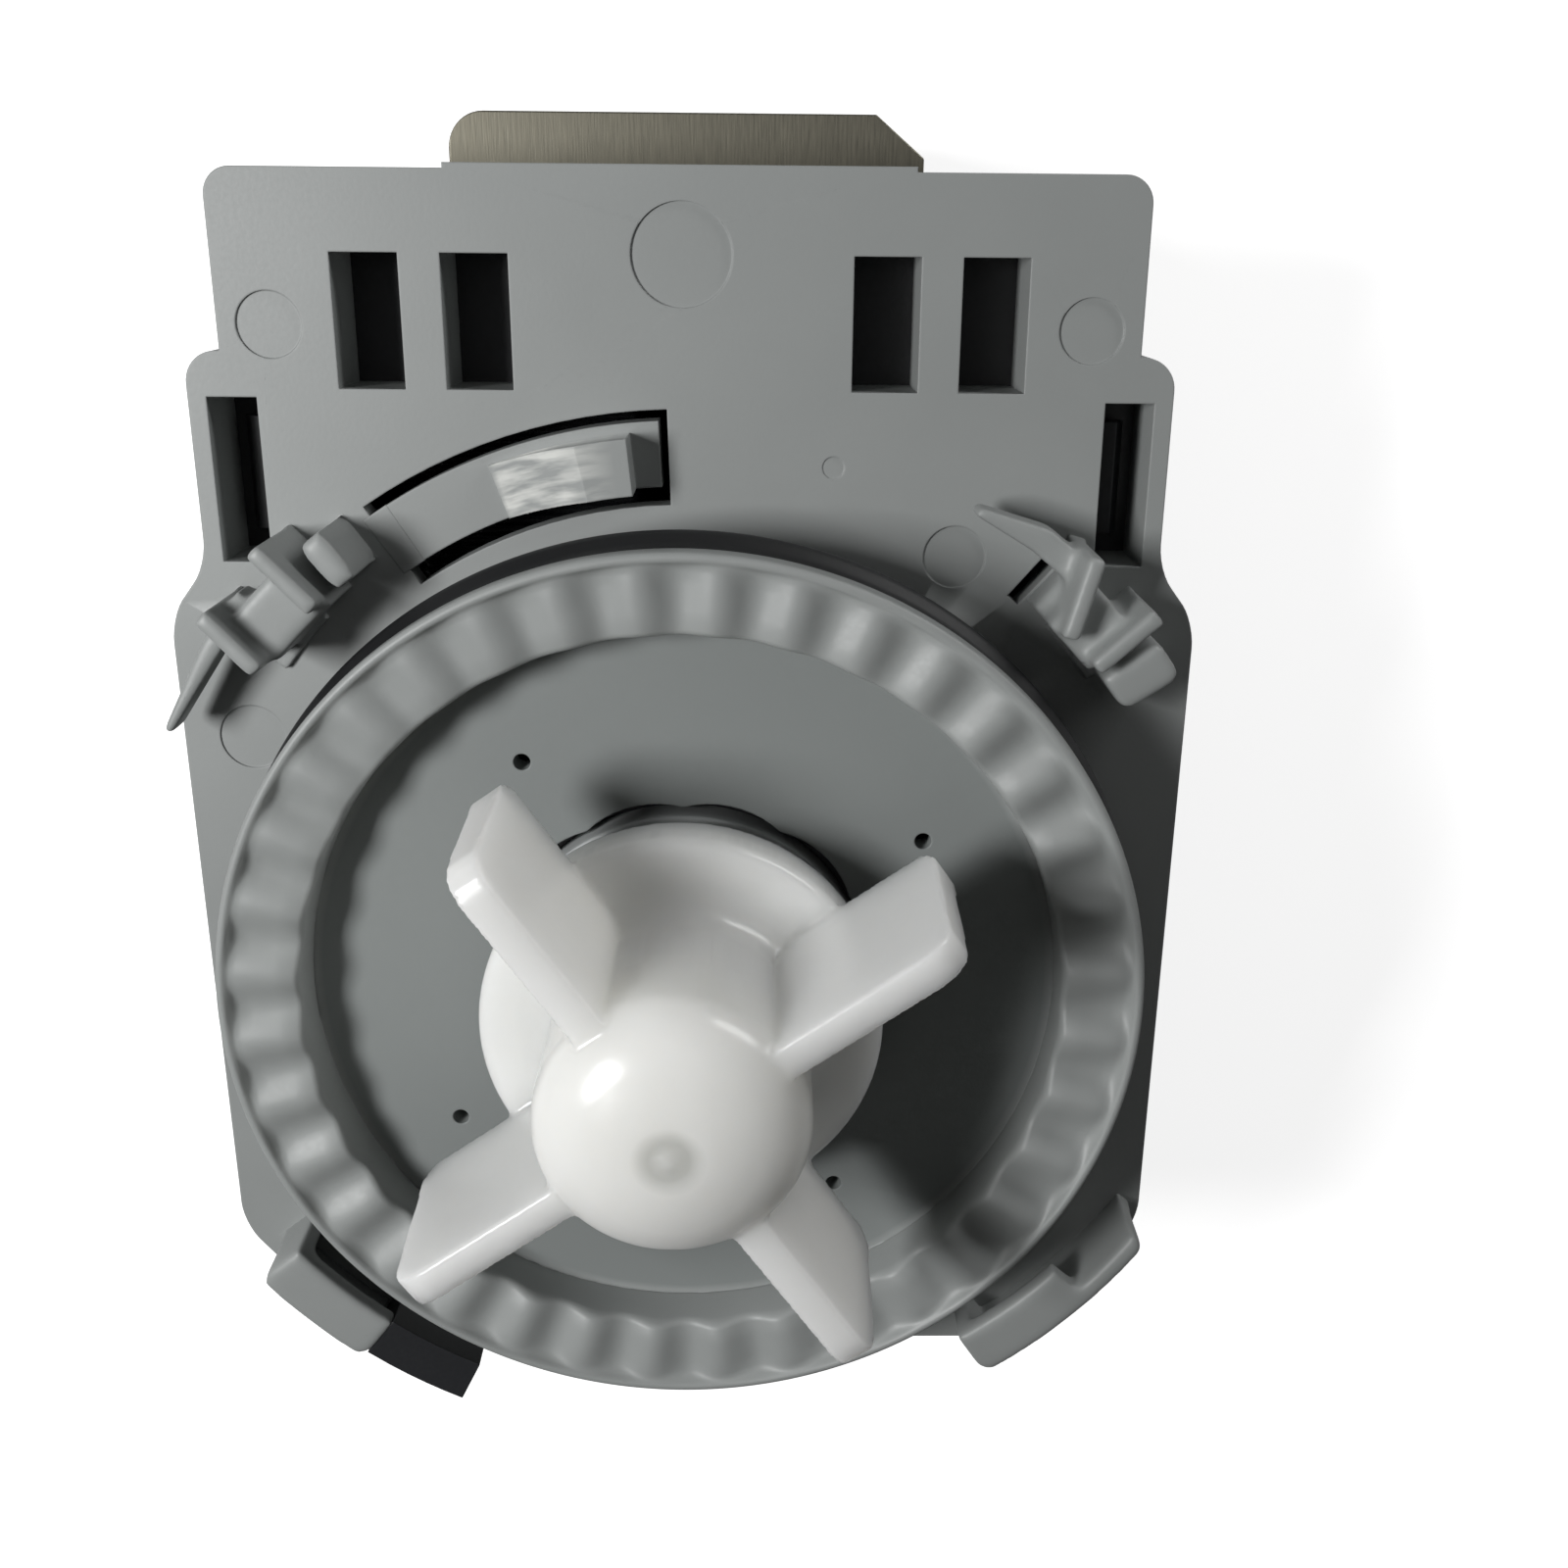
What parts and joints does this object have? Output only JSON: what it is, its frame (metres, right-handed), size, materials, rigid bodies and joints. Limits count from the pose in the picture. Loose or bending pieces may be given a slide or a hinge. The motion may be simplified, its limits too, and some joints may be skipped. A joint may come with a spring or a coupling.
{
  "type": "dishwasher drain pump",
  "caption": "Grey bayonet pump plate with a round fluted spigot, white radial-blade impeller and a wet-rotor motor with a steel yoke behind it.",
  "frame": {"origin": "on the rotor axis, at the flat back of the motor cover that the pump lies on", "axes": "+Z along the rotor axis out of the spigot towards the impeller's nose, +Y towards the steel yoke above the plate, +X to the right as seen from the impeller side"},
  "size_m": [0.086, 0.1147, 0.0799],
  "materials": {
    "grey_plastic": "fine moulded satin",
    "light_grey_plastic": "fine moulded satin",
    "white_plastic": "smooth, slightly waxy",
    "black_plastic": "fine moulded satin",
    "black_rubber": "smooth matt rubber",
    "stainless_steel": "ground",
    "natural_nylon": "moulded",
    "ferrite": null,
    "fibre_washer": "matt",
    "carbon_bush": "ground carbon",
    "lamination_steel": "rolled, bluish green grey",
    "rivet_steel": "zinc plated",
    "copper_winding": "enamelled wire",
    "coil_tape": "smooth black polyester tape",
    "tinned_brass": "tinned",
    "protector_case": "moulded"
  },
  "bodies": {
    "housing": {"mounting_plate": "grey_plastic", "spigot_seal": "black_rubber", "front_bearing": "carbon_bush", "front_bearing_cushion": "black_rubber", "front_bearing_holder": "light_grey_plastic", "holder_o_ring": "black_rubber", "rotor_can": "black_plastic", "rear_bearing": "carbon_bush", "rear_bearing_cushion": "black_rubber", "stator_core": "lamination_steel", "core_rivets": "rivet_steel", "left_bobbin": "natural_nylon", "right_bobbin": "natural_nylon", "left_coil": "copper_winding", "right_coil": "copper_winding", "left_coil_tape": "coil_tape", "right_coil_tape": "coil_tape", "terminal_blades": "tinned_brass", "thermal_protector": "protector_case", "rear_cover": "black_plastic", "cover_screws": "rivet_steel"},
    "rotor": {"rotor_shaft": "stainless_steel", "drive_dog": "natural_nylon", "dog_pads": "black_rubber", "rotor_magnet": "ferrite", "magnet_carrier": "natural_nylon", "front_thrust_washer": "fibre_washer", "rear_thrust_washer": "fibre_washer"},
    "impeller": {"impeller": "white_plastic", "impeller_hub_plug": "white_plastic"},
    "latch": {"latch_arm": "grey_plastic"}
  },
  "joints": [
    {"name": "rotor_spin", "type": "hinge", "parent": "housing", "child": "rotor", "pos_m": [0, 0, 0.0205], "axis": [0, 0, 1], "continuous": true},
    {"name": "impeller_lost_motion", "type": "hinge", "parent": "rotor", "child": "impeller", "pos_m": [0, 0, 0.0635], "axis": [0, 0, 1], "range_deg": [-132, 132]},
    {"name": "latch_press", "type": "hinge", "parent": "housing", "child": "latch", "pos_m": [-0.0243, 0.03602, 0.0422], "axis": [-0.5592, 0.829, 0], "range_deg": [0, 10], "stiffness_Nm_per_rad": 0.8}
  ]
}
